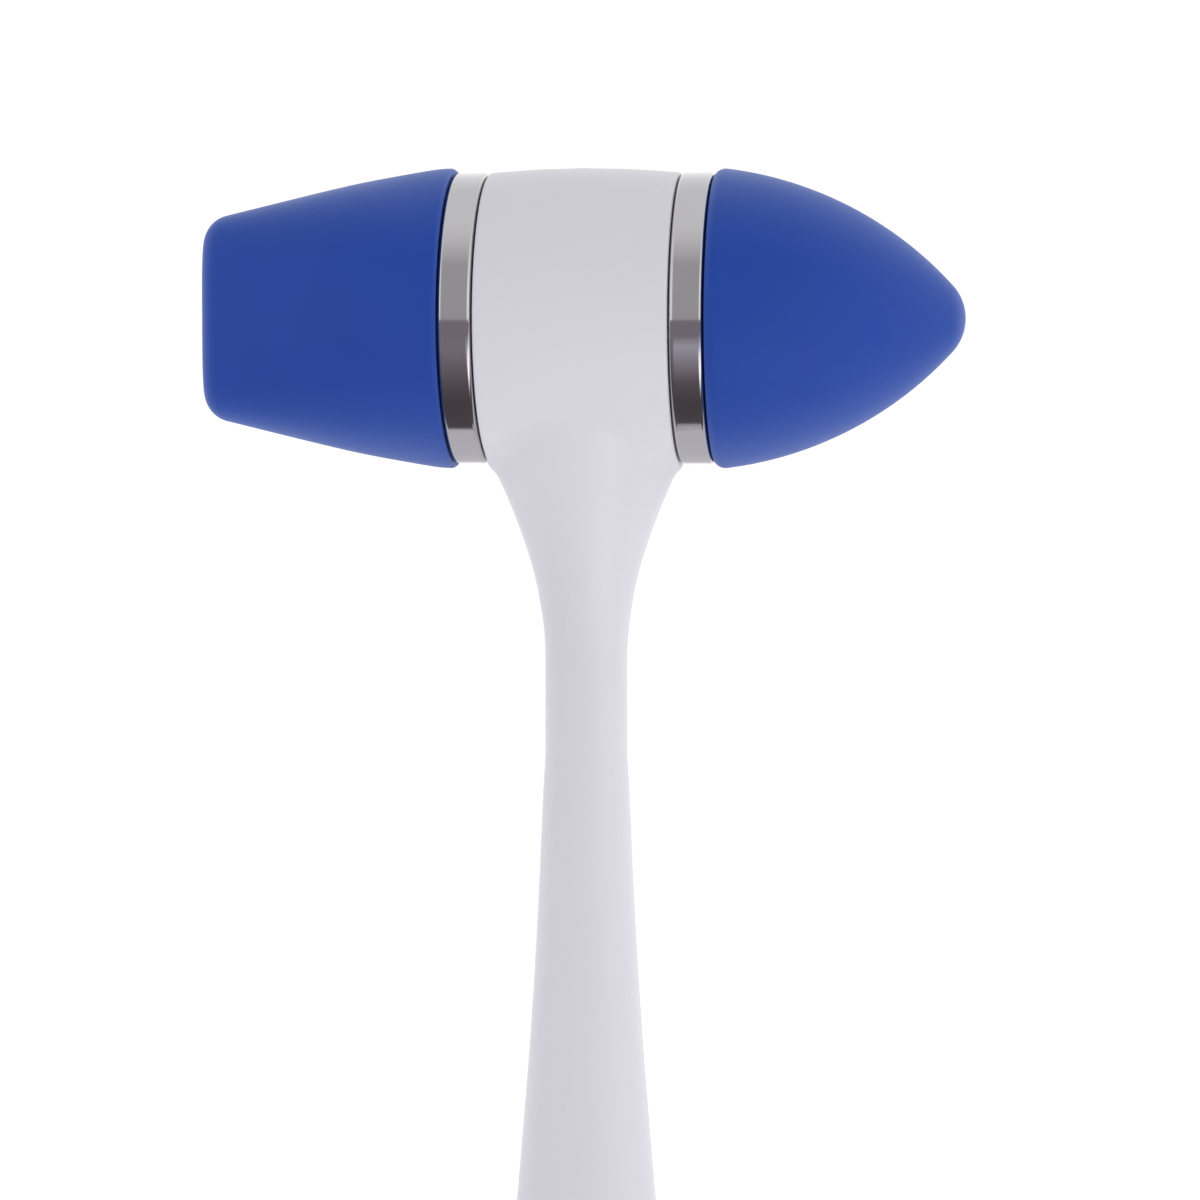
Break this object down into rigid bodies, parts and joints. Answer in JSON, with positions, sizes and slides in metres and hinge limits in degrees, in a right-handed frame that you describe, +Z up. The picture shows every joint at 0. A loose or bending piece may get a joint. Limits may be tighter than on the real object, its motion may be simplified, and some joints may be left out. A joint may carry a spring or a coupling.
{
  "type": "reflex hammer",
  "caption": "Two-headed reflex hammer: slim flared plastic handle, steel spacer rings, one pointed and one blunt rubber buffer on screw-off hubs.",
  "frame": {"origin": "middle of the small flat on the handle's butt", "axes": "+Z runs up the handle to the head, +X towards the pointed buffer, -X towards the blunt buffer, -Y is the front"},
  "size_m": [0.0756, 0.03, 0.245],
  "materials": {
    "handle_plastic": "white moulded plastic, fine satin gloss",
    "buffer_rubber": "blue rubber, matt with a soft sheen",
    "polished_steel": "bright polished steel",
    "turned_steel": "plain turned steel"
  },
  "bodies": {
    "handle": {"handle_front_shell": "handle_plastic", "handle_rear_shell": "handle_plastic", "head_core": "turned_steel", "core_rod": "turned_steel", "rod_lock_pin": "turned_steel", "anchor_washer": "turned_steel", "anchor_nut": "turned_steel"},
    "left_ring": {"left_ring": "polished_steel"},
    "left_head": {"blunt_buffer": "buffer_rubber", "left_hub": "turned_steel"},
    "right_ring": {"right_ring": "polished_steel"},
    "right_head": {"pointed_buffer": "buffer_rubber", "right_hub": "turned_steel"}
  },
  "joints": [
    {"name": "left_head_travel", "type": "slide", "parent": "handle", "child": "left_ring", "axis": [-1, 0, 0], "range_m": [0, 0.0075]},
    {"name": "left_head_turn", "type": "hinge", "parent": "left_ring", "child": "left_head", "pos_m": [-0.013, 0, 0.23], "axis": [-1, 0, 0], "range_deg": [0, 2160]},
    {"name": "right_head_travel", "type": "slide", "parent": "handle", "child": "right_ring", "axis": [1, 0, 0], "range_m": [0, 0.0075]},
    {"name": "right_head_turn", "type": "hinge", "parent": "right_ring", "child": "right_head", "pos_m": [0.013, 0, 0.23], "axis": [1, 0, 0], "range_deg": [0, 2160]}
  ],
  "couplings": [
    {"joint": "left_head_travel", "follows": "left_head_turn", "m_per_rad": 0.00019894},
    {"joint": "right_head_travel", "follows": "right_head_turn", "m_per_rad": 0.00019894}
  ]
}
